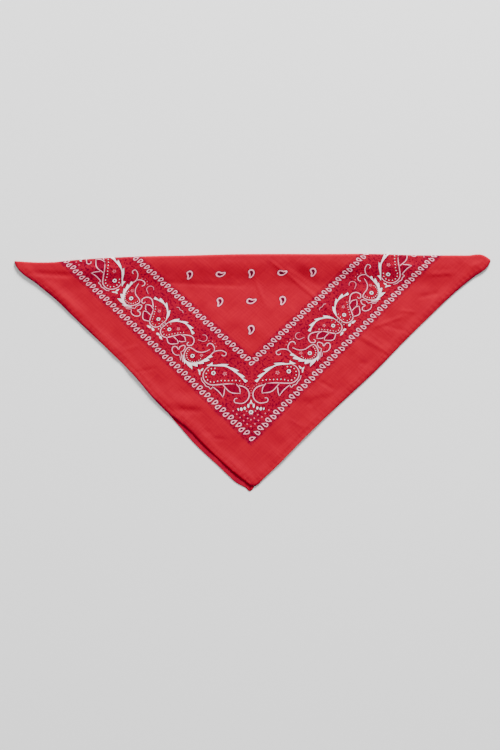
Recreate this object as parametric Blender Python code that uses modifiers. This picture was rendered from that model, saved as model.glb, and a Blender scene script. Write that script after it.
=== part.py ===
"""A square cotton bandana, folded once on its diagonal and laid flat.

The fold runs along X at the far side (+Y) and the loose corners point to the near side (-Y).
The half that lies on top turns round the fold in a soft roll and ends where the half beneath
begins. Each half has two narrow hems, turned to the wrong side, so they lie between the halves.
Metres, +Z up; the origin is on the floor, under the middle of the bounding box.
"""
import math
from collections import namedtuple

import bmesh
import bpy
import numpy as np
from mathutils import Vector

MM = 0.001

# The cloth, before it is folded
SIDE = 550 * MM                     # one side of the hemmed square
WALL = 1.0 * MM                     # thickness of each layer
GAP = 0.3 * MM                      # air between two layers that lie on each other
HEM_WIDTH = 6.0 * MM
HEM_INSET = 0.4 * MM                # a hem stays this far inside the edge of its panel
HEM_START = 14 * MM                 # past the mitre, a hem follows its edge from here
HEM_END = 30 * MM                   # and stops this far from the tip of the fold

# The folded outline
DIAGONAL = SIDE * math.sqrt(2)
FOLD_LENGTH = DIAGONAL - 6.0 * MM   # both tips are drawn in a little
DEPTH = DIAGONAL / 2 - 4.6 * MM     # the creases shorten the cloth
FAR = DEPTH / 2
LEFT_TIP = Vector((-FOLD_LENGTH / 2, FAR - 11.3 * MM))
RIGHT_TIP = Vector((FOLD_LENGTH / 2, FAR - 9.7 * MM))
FRONT_CORNER = Vector((-0.3 * MM, -FAR + 8.4 * MM))
BACK_CORNER = Vector((-4.7 * MM, -FAR))
BACK_LEFT_TIP = Vector((-373.0 * MM, FAR - 24.5 * MM))
BACK_RIGHT_TIP = Vector((373.0 * MM, FAR - 21.5 * MM))
MIDDLE = Vector((0.0, FAR / 3))

# Heights
REST = 2 * WALL + GAP               # outer face of the top half where it lies on the other
HEM_LIFT = 2 * (WALL + GAP)         # the two hems beneath raise the border of the top half
HEM_SHELF = 9.5 * MM                # width of the raised border
HEM_FOOT = 14.0 * MM                # where the border has come down again
TIP_RUN = (12 * MM, 26 * MM)        # the border rises over this stretch from each tip
ROLL_RUN = 46 * MM                  # the cloth comes down from the roll over this width
ROLL_REACH = 14 * MM                # creases fade out this close to the roll

# Fineness
GRID_STEPS = 50                     # steps along each side of the top half
ROLL_STEPS = 6
BACK_STEPS = 36                     # steps along each lower edge of the half beneath

# How far each edge bows outwards from the straight line between its two ends
Bow = namedtuple("Bow", "share out_mm")
FOLD_BOWS = [                       # from the left tip to the right tip
    Bow(0.00, 0.0), Bow(0.04, -2.0), Bow(0.085, -1.9), Bow(0.12, 0.8), Bow(0.17, 3.5),
    Bow(0.27, 7.0), Bow(0.37, 8.4), Bow(0.45, 10.0), Bow(0.52, 10.4), Bow(0.64, 10.2),
    Bow(0.77, 9.8), Bow(0.83, 8.1), Bow(0.95, 7.5), Bow(0.986, 7.2), Bow(1.00, 0.0),
]
FRONT_LEFT_BOWS = [                 # from the corner to the left tip
    Bow(0.00, 0.0), Bow(0.04, 2.6), Bow(0.10, 4.6), Bow(0.20, 4.8), Bow(0.27, 3.6),
    Bow(0.345, 7.2), Bow(0.40, 6.1), Bow(0.50, 0.2), Bow(0.60, -1.4), Bow(0.76, -1.5),
    Bow(0.82, -2.2), Bow(0.90, 0.6), Bow(0.985, 3.0), Bow(1.00, 0.0),
]
FRONT_RIGHT_BOWS = [                # from the corner to the right tip
    Bow(0.00, 0.0), Bow(0.045, 3.6), Bow(0.095, 3.8), Bow(0.20, 1.8), Bow(0.28, 0.5),
    Bow(0.54, 0.4), Bow(0.63, -2.0), Bow(0.75, -3.3), Bow(0.86, -3.1), Bow(0.93, -0.2),
    Bow(0.98, 3.0), Bow(1.00, 0.0),
]
BACK_LEFT_BOWS = [
    Bow(0.00, 0.0), Bow(0.015, -0.8), Bow(0.06, 5.6), Bow(0.13, 7.2), Bow(0.18, 8.2),
    Bow(0.23, 8.1), Bow(0.29, 5.8), Bow(0.35, 3.2), Bow(0.42, -0.6), Bow(0.52, -5.0),
    Bow(0.63, -5.6), Bow(0.84, -4.4), Bow(0.93, -1.2), Bow(1.00, 0.0),
]
BACK_RIGHT_BOWS = [
    Bow(0.00, 0.0), Bow(0.02, -0.4), Bow(0.04, -2.6), Bow(0.12, -1.8), Bow(0.22, -2.8),
    Bow(0.39, -2.7), Bow(0.56, -2.0), Bow(0.74, -4.4), Bow(0.90, -2.9), Bow(1.00, 0.0),
]

# The soft roll at the fold, from the left tip to the right
Roll = namedtuple("Roll", "share radius_mm")
ROLLS = [
    Roll(0.00, 1.4), Roll(0.08, 1.9), Roll(0.20, 2.7), Roll(0.50, 3.2), Roll(0.85, 2.8),
    Roll(0.95, 2.2), Roll(1.00, 1.8),
]

# Creases that stand up as soft ridges, each from one end to the other
Ridge = namedtuple("Ridge", "start_x_mm start_y_mm end_x_mm end_y_mm height_mm half_width_mm")
RIDGES = [
    Ridge(17, 186, 145, 88, 1.8, 11),
    Ridge(132, 98, 222, 32, 3.2, 15),
    Ridge(6, 156, 18, 112, 1.4, 10),
    Ridge(-372, 176, -292, 167, 1.4, 9),
    Ridge(-226, 20, -176, 54, 1.5, 10),
    Ridge(-152, -44, -92, -20, 2.0, 13),
    Ridge(78, -60, 140, -38, 2.2, 14),
    Ridge(196, 62, 262, 96, 1.6, 12),
    Ridge(282, 156, 336, 158, 1.4, 11),
]
RIDGE_END = 0.2                     # share of a ridge over which each end fades
RIDGE_TIP = 0.16                    # part of its height that is left at the very end

# Broad swells of the cloth: middle, the two half widths, the turn of the long one, the height
Swell = namedtuple("Swell", "x_mm y_mm long_mm short_mm turn_deg height_mm")
SWELLS = [
    Swell(-10, 72, 120, 46, 4, 2.0),
    Swell(-236, 128, 70, 30, -38, 1.6),
    Swell(232, 122, 70, 32, 38, 1.8),
    Swell(-120, 22, 80, 34, -42, 1.6),
    Swell(112, 12, 84, 34, 40, 1.8),
    Swell(-26, -104, 64, 34, -30, 2.2),
    Swell(46, -112, 50, 26, 44, 1.4),
]

# Finish of the cloth
RED = (0.74, 0.012, 0.028, 1.0)
DEEP_RED = (0.60, 0.010, 0.026, 1.0)
COTTON_ROUGHNESS = 0.85


def ease(value):
    """Smooth step from 0 to 1, flat at both ends."""
    value = min(max(value, 0.0), 1.0)
    return value * value * (3 - 2 * value)


def along(table, share):
    """Value of a two-column table at a share of the way, on a smooth curve through its rows."""
    knots = [row[0] for row in table]
    values = [row[1] * MM for row in table]
    slopes = np.gradient(values, knots)
    step = min(max(int(np.searchsorted(knots, share)) - 1, 0), len(knots) - 2)
    span = knots[step + 1] - knots[step]
    t = (share - knots[step]) / span
    height = (1 + 2 * t) * (1 - t) ** 2 * values[step] + t * t * (3 - 2 * t) * values[step + 1]
    lean = t * (1 - t) ** 2 * slopes[step] - t * t * (1 - t) * slopes[step + 1]
    return float(height + lean * span)


def outwards(start, end):
    """Unit normal of an edge, on the side away from the middle of the cloth."""
    run = end - start
    normal = Vector((run.y, -run.x)).normalized()
    return normal if normal.dot(start - MIDDLE) > 0 else -normal


def bow(start, end, bows, share):
    """Shift of an edge from the straight line between its ends."""
    return outwards(start, end) * along(bows, share)


def ridge_height(x, y):
    """Height that the creases add at a point: round in section, fading at both ends."""
    height = 0.0
    here = Vector((x, y))
    for ridge in RIDGES:
        start = Vector((ridge.start_x_mm, ridge.start_y_mm)) * MM
        run = Vector((ridge.end_x_mm, ridge.end_y_mm)) * MM - start
        share = min(max((here - start).dot(run) / run.length_squared, 0.0), 1.0)
        away = (here - start - run * share).length / (ridge.half_width_mm * MM)
        fade = RIDGE_TIP + (1 - RIDGE_TIP) * ease(min(share, 1 - share) / RIDGE_END)
        height += ridge.height_mm * MM * fade * (1 - ease(away))
    return height


def swell_height(x, y):
    """Height that the broad swells add at a point."""
    height = 0.0
    for swell in SWELLS:
        turn = math.radians(swell.turn_deg)
        dx, dy = x - swell.x_mm * MM, y - swell.y_mm * MM
        lengthways = (dx * math.cos(turn) + dy * math.sin(turn)) / (swell.long_mm * MM)
        across = (dy * math.cos(turn) - dx * math.sin(turn)) / (swell.short_mm * MM)
        height += swell.height_mm * MM * math.exp(-lengthways ** 2 - across ** 2)
    return height


def front_point(left, right):
    """Point of the top half's outer face, from its shares of the left and the right tip.

    left = 0 is the right lower edge, right = 0 the left lower edge, and left + right = 1 the
    line on top of the roll. Each edge's bow fades towards the corner across from it.
    """
    near = max(1 - left - right, 0.0)
    place = FRONT_CORNER * near + LEFT_TIP * left + RIGHT_TIP * right
    for start, end, bows, from_start, from_end in (
        (FRONT_CORNER, LEFT_TIP, FRONT_LEFT_BOWS, near, left),
        (FRONT_CORNER, RIGHT_TIP, FRONT_RIGHT_BOWS, near, right),
        (LEFT_TIP, RIGHT_TIP, FOLD_BOWS, left, right),
    ):
        reach = from_start + from_end
        if reach > 0:
            place += bow(start, end, bows, from_end / reach) * reach
    radius = along(ROLLS, right + near / 2)
    place.y -= radius * (left + right)

    from_fold = near * DEPTH
    from_edge = min(left, right) * SIDE
    from_tip = (1 - max(left, right)) * SIDE
    at_roll = 1 - ease(from_fold / ROLL_RUN)
    border = 1 - ease((from_edge - HEM_SHELF) / (HEM_FOOT - HEM_SHELF))
    border *= ease((from_tip - TIP_RUN[0]) / (TIP_RUN[1] - TIP_RUN[0]))
    relief = (ridge_height(*place) + swell_height(*place)) * ease(from_fold / ROLL_REACH)
    height = REST + (2 * radius - REST) * at_roll + HEM_LIFT * border + relief
    return Vector((place.x, place.y, height))


def grid_shares():
    """Shares of a side at which the panel's points stand, closer together along the hems."""
    border = [0.0, HEM_WIDTH / SIDE, HEM_SHELF / SIDE, HEM_FOOT / SIDE]
    middle = np.linspace(border[-1], 1 - border[-1], GRID_STEPS - 5)
    return border[:-1] + [float(share) for share in middle] + [1 - b for b in border[-2::-1]]


def front_grid():
    """The top half's outer face as a mesh, with its points by their place in the grid."""
    mesh = bmesh.new()
    shares = grid_shares()
    steps = len(shares) - 1
    grid = {}
    for i in range(steps + 1):
        for j in range(steps + 1 - i):
            grid[i, j] = mesh.verts.new(front_point(shares[i], shares[j]))
    for i in range(steps):
        for j in range(steps - i):
            mesh.faces.new((grid[i, j], grid[i, j + 1], grid[i + 1, j]))
            if i + j < steps - 1:
                mesh.faces.new((grid[i, j + 1], grid[i + 1, j + 1], grid[i + 1, j]))
    mesh.normal_update()
    return mesh, grid


def cotton(name, colour):
    """Matt printed cotton."""
    material = bpy.data.materials.new(name)
    material.use_nodes = True
    shader = material.node_tree.nodes["Principled BSDF"]
    shader.inputs["Base Color"].default_value = colour
    shader.inputs["Roughness"].default_value = COTTON_ROUGHNESS
    shader.inputs["Metallic"].default_value = 0.0
    material.diffuse_color = colour
    return material


def add_piece(name, data, colour, collection):
    """Link a named piece with a material of its own."""
    data.materials.append(cotton(name + "_cotton", colour))
    piece = bpy.data.objects.new(name, data)
    collection.objects.link(piece)
    return piece


def add_sheet(name, mesh, colour, collection):
    """A piece with one layer's wall on the inner side of an open surface."""
    data = bpy.data.meshes.new(name)
    mesh.to_mesh(data)
    mesh.free()
    data.shade_smooth()
    wall = add_piece(name, data, colour, collection).modifiers.new("wall", "SOLIDIFY")
    wall.thickness = WALL
    wall.offset = -1
    wall.use_even_offset = True


def add_plate(name, outline, bottom, colour, collection):
    """A flat piece of one layer's thickness, from its outline."""
    curve = bpy.data.curves.new(name, "CURVE")
    curve.dimensions = "2D"
    curve.fill_mode = "BOTH"
    curve.extrude = WALL / 2
    spline = curve.splines.new("POLY")
    spline.points.add(len(outline) - 1)
    for point, place in zip(spline.points, outline):
        point.co = (place.x, place.y, 0, 1)
    spline.use_cyclic_u = True
    add_piece(name, curve, colour, collection).location.z = bottom + WALL / 2


def build_front_half(collection):
    """The half that lies on top: a triangle of cloth that turns down round the fold."""
    mesh, grid = front_grid()
    shares = grid_shares()
    steps = len(shares) - 1
    on_roll = [grid[steps - j, j] for j in range(steps + 1)]
    radii = [along(ROLLS, share) for share in shares]
    above = on_roll
    for k in range(1, ROLL_STEPS + 1):
        turn = math.pi * k / ROLL_STEPS
        below = []
        for top, radius in zip(on_roll, radii):
            y = top.co.y + radius * math.sin(turn)
            below.append(mesh.verts.new((top.co.x, y, radius + radius * math.cos(turn))))
        for j in range(steps):
            mesh.faces.new((above[j], above[j + 1], below[j + 1], below[j]))
        above = below
    add_sheet("front_half", mesh, RED, collection)


def build_front_hem(name, grid_place, collection):
    """A hem of the top half: the points of its border, moved in under the panel.

    grid_place turns a place along and across the border into one in the panel's grid, and the
    first point of each row lies on the mitre, where the two hems meet at the corner.
    """
    panel, grid = front_grid()
    drop = WALL + GAP
    last = max(k for k, share in enumerate(grid_shares()) if share < 1 - HEM_END / SIDE)
    mesh = bmesh.new()
    rows = []
    for inset in (HEM_INSET, HEM_WIDTH):
        mitre = front_point(*grid_place((inset + GAP) / SIDE, inset / SIDE))
        row = [mesh.verts.new(mitre - Vector((0, 0, drop)))]
        for k in range(2, last + 1):
            edge, fold = grid[grid_place(k, 0)], grid[grid_place(k, 1)]
            share = inset / HEM_WIDTH
            place = edge.co.lerp(fold.co, share)
            upwards = edge.normal.lerp(fold.normal, share).normalized()
            row.append(mesh.verts.new(place - upwards * drop))
        rows.append(row)
    outer, inner = rows
    for k in range(len(outer) - 1):
        mesh.faces.new((outer[k], outer[k + 1], inner[k]))
        mesh.faces.new((outer[k + 1], inner[k + 1], inner[k]))
    mesh.normal_update()
    bmesh.ops.reverse_faces(mesh, faces=[face for face in mesh.faces if face.normal.z < 0])
    panel.free()
    add_sheet(name, mesh, DEEP_RED, collection)


def back_edge(tip, bows, share, inset=0.0):
    """Point of a lower edge of the half beneath, from its corner towards a tip."""
    place = BACK_CORNER.lerp(tip, share) + bow(BACK_CORNER, tip, bows, share)
    return place - outwards(BACK_CORNER, tip) * inset


def build_back_half(collection):
    """The half beneath: flat on the floor, up to where the roll of the other half ends."""
    shares = [k / BACK_STEPS for k in range(BACK_STEPS + 1)]
    left_edge = [back_edge(BACK_LEFT_TIP, BACK_LEFT_BOWS, share) for share in shares]
    right_edge = [back_edge(BACK_RIGHT_TIP, BACK_RIGHT_BOWS, share) for share in shares]
    roll_end = [front_point(1 - share, share) for share in grid_shares()]
    fold_edge = [
        Vector((place.x, place.y - GAP)) for place in roll_end
        if BACK_LEFT_TIP.x < place.x < BACK_RIGHT_TIP.x
    ]
    outline = left_edge[::-1] + right_edge[1:] + fold_edge[::-1]
    add_plate("back_half", outline, 0.0, RED, collection)


def build_back_hem(name, tip, bows, collection):
    """A hem of the half beneath, turned up on its inner side."""
    length = (tip - BACK_CORNER).length
    stops = np.linspace(HEM_START / length, 1 - HEM_END / length, BACK_STEPS)
    rows = []
    for inset in (HEM_INSET, HEM_WIDTH):
        shares = [(inset + GAP) / length] + [float(stop) for stop in stops]
        rows.append([back_edge(tip, bows, share, inset) for share in shares])
    outer, inner = rows
    add_plate(name, outer + inner[::-1], WALL + GAP, DEEP_RED, collection)


def build():
    for old in list(bpy.data.objects):
        bpy.data.objects.remove(old, do_unlink=True)
    collection = bpy.data.collections.new("folded_bandana")
    bpy.context.scene.collection.children.link(collection)
    build_front_half(collection)
    build_front_hem("hem_front_left", lambda along, across: (along, across), collection)
    build_front_hem("hem_front_right", lambda along, across: (across, along), collection)
    build_back_half(collection)
    build_back_hem("hem_back_left", BACK_LEFT_TIP, BACK_LEFT_BOWS, collection)
    build_back_hem("hem_back_right", BACK_RIGHT_TIP, BACK_RIGHT_BOWS, collection)


build()
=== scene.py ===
"""A square cotton bandana with a paisley border, folded once on its diagonal and laid flat.

The cloth is made as a tailor sees it: a print on a flat square, hems turned to the wrong side,
one fold. Places on the flat square are (a, b) in millimetres from the corner that lies nearest,
with a along the left lower edge and b along the right one. Folded places are x, y and z in
millimetres until a mesh is made, in metres, in the frame of the CAD part.
"""
import math
from collections import namedtuple

import bpy
import numpy as np
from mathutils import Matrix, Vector, geometry


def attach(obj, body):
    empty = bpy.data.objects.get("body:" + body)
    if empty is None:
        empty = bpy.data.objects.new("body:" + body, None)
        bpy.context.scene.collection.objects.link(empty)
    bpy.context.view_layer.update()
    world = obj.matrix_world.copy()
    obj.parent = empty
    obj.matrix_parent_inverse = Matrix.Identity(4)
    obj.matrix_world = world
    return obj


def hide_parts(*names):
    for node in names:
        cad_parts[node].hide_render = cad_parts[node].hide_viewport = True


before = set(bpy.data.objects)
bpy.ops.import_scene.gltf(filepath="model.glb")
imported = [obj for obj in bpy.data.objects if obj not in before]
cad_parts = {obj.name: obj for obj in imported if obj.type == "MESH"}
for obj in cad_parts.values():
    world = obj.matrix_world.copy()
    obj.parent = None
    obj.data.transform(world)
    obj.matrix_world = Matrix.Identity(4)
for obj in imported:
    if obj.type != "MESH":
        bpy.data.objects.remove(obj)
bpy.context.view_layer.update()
bpy.ops.object.select_all(action="DESELECT")

MM = 0.001

# ---- the cloth and how it is folded

SIDE = 550.0                        # one side of the hemmed square
CLOTH = 0.30                        # thickness of one layer
HEM_WIDTH = 6.0
BACK_HEM_WIDTH = 8.2
HEM_CLOTH = 0.32                    # the turned edge, pressed
HEM_INSET = 0.9                     # from the edge of the cloth to the hem
HEM_START = 14.0                    # past the mitre, a hem lies square to its edge from here
MITRE_GAP = 0.1                     # between the mitre and the end of each hem
HEM_END = 30.0                      # a hem stops this far from the tip of the fold
AIR = 0.06                          # between layers that lie on each other
TOP_AIR = 0.24                      # between the puckered border of the top half and its hem

DIAGONAL = SIDE * math.sqrt(2)
FOLD_LENGTH = DIAGONAL - 6.0        # the rounded tips take up the rest
DEPTH = DIAGONAL / 2 - 4.6          # the roll of the fold takes up the rest
FAR = DEPTH / 2
LEFT_TIP = np.array([-FOLD_LENGTH / 2, FAR - 11.3])
RIGHT_TIP = np.array([FOLD_LENGTH / 2, FAR - 9.7])
FRONT_CORNER = np.array([-0.3, -FAR + 8.4])
BACK_CORNER = np.array([-4.7, -FAR])
BACK_LEFT_TIP = np.array([-373.0, FAR - 24.5])
BACK_RIGHT_TIP = np.array([373.0, FAR - 21.5])
MIDDLE = np.array([0.0, FAR / 3])

REST = 1.9                          # outer face of the top half where it lies on the other
BORDER_LIFT = 0.8                   # the hems beneath raise its border
BORDER_SHELF = 6.6
BORDER_FOOT = 20.0
TIP_RUN = (12.0, 26.0)              # the border rises over this stretch from each tip
ROLL_CREST = 7.0                    # the cloth stays up this far from the roll
ROLL_RUN = 49.0                     # and has come down here
LOWEST = 1.3                        # no trough or edge of the top half goes below this
LANDING = 0.16                      # how softly it ends there
ROLL_REACH = 14.0                   # creases fade out this close to the roll

# How the flat square lies: (a, b, 1) times the rows gives x, y and what both are divided by,
# because the cloth is drawn together towards the fold
LAY = np.array([
    [-0.8222, 0.8250, -2.7],
    [0.7507, 0.7886, -186.1],
    [0.000306, 0.000306, 1.0],
])

Bow = namedtuple("Bow", "share out_mm")
FOLD_BOWS = [
    Bow(0.00, 0.0), Bow(0.04, -2.0), Bow(0.085, -1.9), Bow(0.12, 0.8), Bow(0.17, 3.5),
    Bow(0.27, 7.0), Bow(0.37, 8.4), Bow(0.45, 10.0), Bow(0.52, 10.4), Bow(0.64, 10.2),
    Bow(0.77, 9.8), Bow(0.83, 8.1), Bow(0.95, 7.5), Bow(0.986, 7.2), Bow(1.00, 0.0),
]
FRONT_LEFT_BOWS = [
    Bow(0.00, 0.0), Bow(0.04, 2.6), Bow(0.10, 4.6), Bow(0.20, 4.8), Bow(0.27, 3.6),
    Bow(0.345, 7.2), Bow(0.40, 6.1), Bow(0.50, 0.2), Bow(0.60, -1.4), Bow(0.76, -1.5),
    Bow(0.82, -2.2), Bow(0.90, 0.6), Bow(0.985, 3.0), Bow(1.00, 0.0),
]
FRONT_RIGHT_BOWS = [
    Bow(0.00, 0.0), Bow(0.005, 3.2), Bow(0.012, 4.0), Bow(0.04, 3.6), Bow(0.07, 3.8),
    Bow(0.10, 3.5), Bow(0.14, 2.6), Bow(0.20, 1.2), Bow(0.28, 0.2),
    Bow(0.54, 0.4), Bow(0.63, -2.0), Bow(0.75, -3.3), Bow(0.86, -3.1), Bow(0.93, -0.2),
    Bow(0.98, 3.0), Bow(1.00, 0.0),
]
BACK_LEFT_BOWS = [
    Bow(0.00, 0.0), Bow(0.006, 0.9), Bow(0.013, 0.3), Bow(0.022, 1.6), Bow(0.04, 4.8),
    Bow(0.052, 6.2), Bow(0.075, 6.9), Bow(0.13, 7.1), Bow(0.18, 8.1), Bow(0.23, 8.1),
    Bow(0.29, 5.8), Bow(0.35, 3.2), Bow(0.42, -0.6), Bow(0.52, -5.0),
    Bow(0.63, -5.6), Bow(0.84, -4.4), Bow(0.93, -1.2), Bow(1.00, 0.0),
]
BACK_RIGHT_BOWS = [
    Bow(0.00, 0.0), Bow(0.008, 1.6), Bow(0.02, 0.0), Bow(0.04, -2.6), Bow(0.12, -1.8),
    Bow(0.22, -2.8), Bow(0.39, -2.7), Bow(0.56, -2.0), Bow(0.74, -4.4), Bow(0.90, -2.9),
    Bow(1.00, 0.0),
]
# The four edges that meet at the loose corners, as they lie
Edge = namedtuple("Edge", "corner tip bows")
FRONT_LEFT = Edge(FRONT_CORNER, LEFT_TIP, FRONT_LEFT_BOWS)
FRONT_RIGHT = Edge(FRONT_CORNER, RIGHT_TIP, FRONT_RIGHT_BOWS)
BACK_LEFT = Edge(BACK_CORNER, BACK_LEFT_TIP, BACK_LEFT_BOWS)
BACK_RIGHT = Edge(BACK_CORNER, BACK_RIGHT_TIP, BACK_RIGHT_BOWS)

Roll = namedtuple("Roll", "share radius_mm")
ROLLS = [
    Roll(0.00, 1.4), Roll(0.08, 1.9), Roll(0.20, 2.7), Roll(0.50, 3.2), Roll(0.85, 2.8),
    Roll(0.95, 2.2), Roll(1.00, 1.8),
]

# Soft ridges (height above 0) and troughs (below 0), from one end to the other, and how far each
# reaches to its left and to its right: a narrow side is a sharp one
CREASE_FADE = 0.25                  # the share of its length over which a crease fades
CREASE_END = 0.12                   # and the share of its height that it keeps at its ends
Crease = namedtuple("Crease", "x0 y0 x1 y1 height left right")
CREASES = [
    # from the fold down to the right edge
    Crease(11, 195, 61, 155, 0.60, 3.5, 5),
    Crease(56, 160, 113, 113, 0.70, 4, 6),
    Crease(106, 118, 161, 67, 0.80, 6, 4),
    Crease(160, 66, 226, 29, 0.75, 16, 6),
    Crease(48, 179, 113, 134, -0.5, 16, 5),
    # under the roll, where the border print meets the fold
    Crease(-276, 168, -194, 170, 1.1, 6, 28),
    Crease(214, 172, 270, 172, 1.0, 6, 25),
    # in the field
    Crease(4, 152, 20, 110, 0.50, 4.5, 4.5),
    Crease(-166, 146, 2, 138, -0.45, 8, 4),
    # right margin, from the corner up
    Crease(54, -74, 90, -91, 0.35, 4, 4),
    Crease(78, -42, 130, -30, 0.8, 16, 9),
    Crease(90, -50, 98, -53, -0.5, 7, 6),
    Crease(104, -12, 138, -30, -0.5, 5, 5),
    Crease(86, 12, 118, 5, -0.7, 8, 8),
    Crease(171, 15, 186, 14, -0.6, 6, 5),
    Crease(190, 71, 247, 92, 0.6, 5, 4),
    Crease(176, 67, 215, 40, -0.3, 4, 5),
    Crease(210, 77, 250, 66, -0.4, 5, 5),
    Crease(236, 101, 268, 97, 0.4, 4, 4),
    Crease(268, 121, 304, 129, -0.6, 7, 5),
    Crease(283, 158, 328, 161, 0.6, 8, 5),
    Crease(349, 169, 377, 182, 0.5, 6, 5),
    # left margin, from the tip down
    Crease(-364, 161, -287, 156, -0.9, 8, 6),
    Crease(-340, 150, -262, 84, 0.9, 16, 16),
    Crease(-213, 35, -180, 45, 0.35, 4, 6),
    Crease(-189, 0, -153, 8, -0.35, 4, 4),
    Crease(-147, -45, -75, -53, 1.35, 20, 15),
    Crease(-122, -60, -78, -62, -0.5, 7, 8),
    Crease(-80, -94, -65, -100, -0.5, 8, 7),
    Crease(-66, -106, -43, -109, -0.5, 5, 4),
]

Swell = namedtuple("Swell", "x y long short turn height")
SWELLS = [
    Swell(-10, 72, 120, 46, 4, 1.6),
    Swell(-236, 128, 70, 30, -38, 1.0),
    Swell(232, 122, 70, 32, 38, 1.1),
    Swell(-120, 22, 80, 34, -42, 1.0),
    Swell(112, 12, 84, 34, 40, 1.1),
    Swell(-30, -92, 50, 26, -30, 0.8),
    Swell(46, -96, 50, 24, 44, 0.7),
    Swell(-4, -120, 46, 26, 0, -1.1),
]
RIPPLES = 26                        # small waves of the cloth, all over
RIPPLE_LENGTHS = (17.0, 60.0)
RIPPLE_SLOPE = 0.010
RIPPLE_SEED = 4

STITCH_INSET = 5.4
BACK_STITCH_INSET = 7.6
STITCH_DIP = 0.45
STITCH_GROOVE = 1.5                 # how wide the dip is to each side
PUCKER = 0.16
PUCKER_WIDTH = 4.0
PUCKER_PITCH = 9.3
PUCKER_SWAY = 1.6                   # the pitch is uneven by this much of a turn
PUCKER_DRIFT = 21.0                 # and changes over this length
LIP = 4.4                           # the edge curls down, or a little up, over this width
Lip = namedtuple("Lip", "share drop_mm")
LEFT_LIPS = [
    Lip(0.00, 0.5), Lip(0.08, 0.6), Lip(0.14, 0.8), Lip(0.30, 0.95), Lip(0.37, 0.8),
    Lip(0.43, -0.3), Lip(0.50, 0.1), Lip(0.60, 0.9), Lip(0.74, 1.3), Lip(0.84, 1.9),
    Lip(1.00, 1.7),
]
RIGHT_LIPS = [
    Lip(0.00, 1.0), Lip(0.06, 0.4), Lip(0.12, -0.3), Lip(0.22, -0.3), Lip(0.32, 0.8),
    Lip(0.42, 1.6), Lip(0.60, 1.7), Lip(0.80, 1.7), Lip(0.92, 1.2), Lip(1.00, 1.0),
]
# Painted shade along the rounded hemmed edge, mixed into the cloth's colour, from the corner to each
# tip
EDGE_SHADE_WIDTH = 3.4                     # and fades out over this width
MOST_EDGE_SHADE = 0.95
# painted shade at the cut edges of the half beneath
BACK_EDGE_SHADE = 0.54
# how deep the painted shade is at shares of the edge
EdgeShade = namedtuple("EdgeShade", "share depth")
LEFT_EDGE_SHADES = [
    EdgeShade(0.00, 0.1), EdgeShade(0.12, 0.15), EdgeShade(0.20, 0.35), EdgeShade(0.28, 0.9), EdgeShade(0.34, 1.5),
    EdgeShade(0.40, 1.1), EdgeShade(0.46, 0.6), EdgeShade(0.58, 0.5), EdgeShade(0.64, 1.3), EdgeShade(0.75, 1.9),
    EdgeShade(0.88, 1.9), EdgeShade(0.93, 0.9), EdgeShade(1.00, 0.9),
]
RIGHT_EDGE_SHADES = [
    EdgeShade(0.00, 0.9), EdgeShade(0.015, 0.8), EdgeShade(0.03, 0.15), EdgeShade(0.06, 0.0), EdgeShade(0.22, 0.0),
    EdgeShade(0.30, 0.3), EdgeShade(0.38, 0.7), EdgeShade(0.46, 0.55), EdgeShade(0.52, 0.35), EdgeShade(0.62, 0.35),
    EdgeShade(0.71, 0.3), EdgeShade(0.76, 0.8), EdgeShade(0.90, 1.0), EdgeShade(0.94, 0.6), EdgeShade(1.00, 0.6),
]


def ease(value):
    """Smooth step from 0 to 1, flat at both ends."""
    value = np.clip(value, 0.0, 1.0)
    return value * value * (3 - 2 * value)


def bent(t, start, end, leaving, arriving):
    """A cubic run from start to end, at shares t of it, with its slopes at both ends."""
    return ((1 + 2 * t) * (1 - t) ** 2 * start + t * t * (3 - 2 * t) * end
            + t * (1 - t) ** 2 * leaving - t * t * (1 - t) * arriving)


def along(table, share):
    """Values of a two-column table at shares of the way, on a smooth curve through its rows."""
    knots, values = np.array(table).T
    slopes = np.gradient(values, knots)
    share = np.asarray(share, float)
    step = np.clip(np.searchsorted(knots, share) - 1, 0, len(knots) - 2)
    span = knots[step + 1] - knots[step]
    t = np.clip((share - knots[step]) / span, 0.0, 1.0)
    return bent(t, values[step], values[step + 1], slopes[step] * span, slopes[step + 1] * span)


def unit(vectors):
    """The same directions, each of length 1."""
    return vectors / np.maximum(np.linalg.norm(vectors, axis=1), 1e-12)[:, None]


def length_of(edge):
    return float(np.linalg.norm(edge.tip - edge.corner))


def outwards(edge):
    """Unit normal of an edge, on the side away from the middle of the cloth."""
    run = edge.tip - edge.corner
    normal = np.array([run[1], -run[0]]) / np.linalg.norm(run)
    return normal if normal @ (edge.corner - MIDDLE) > 0 else -normal


def edge_points(edge, share):
    """Points of a bowed edge."""
    share = np.asarray(share, float)[:, None]
    straight = edge.corner + (edge.tip - edge.corner) * share
    return straight + outwards(edge) * along(edge.bows, share)


def inside_edge(points, edge):
    """How far points lie inside a bowed edge, and at which share of it."""
    run = edge.tip - edge.corner
    share = (points - edge.corner) @ run / (run @ run)
    return along(edge.bows, share) - (points - edge.corner) @ outwards(edge), share


def moved(places, rows):
    """Places put through the rows of a lay."""
    sums = np.column_stack([places, np.ones(len(places))]) @ rows.T
    return sums[:, :2] / sums[:, 2:]


def laid(flat):
    """Where places of the flat square come to lie on the table."""
    return moved(flat, LAY)


def unlaid(places):
    """Where places on the table lie on the flat square."""
    return moved(places, np.linalg.inv(LAY))


def fold_line(x):
    """Furthest reach of the fold at an x, and the radius of its roll there."""
    share = np.clip((x - LEFT_TIP[0]) / FOLD_LENGTH, 0.0, 1.0)
    chord = LEFT_TIP[1] + (RIGHT_TIP[1] - LEFT_TIP[1]) * share
    return chord + along(FOLD_BOWS, share), along(ROLLS, share)


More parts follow.
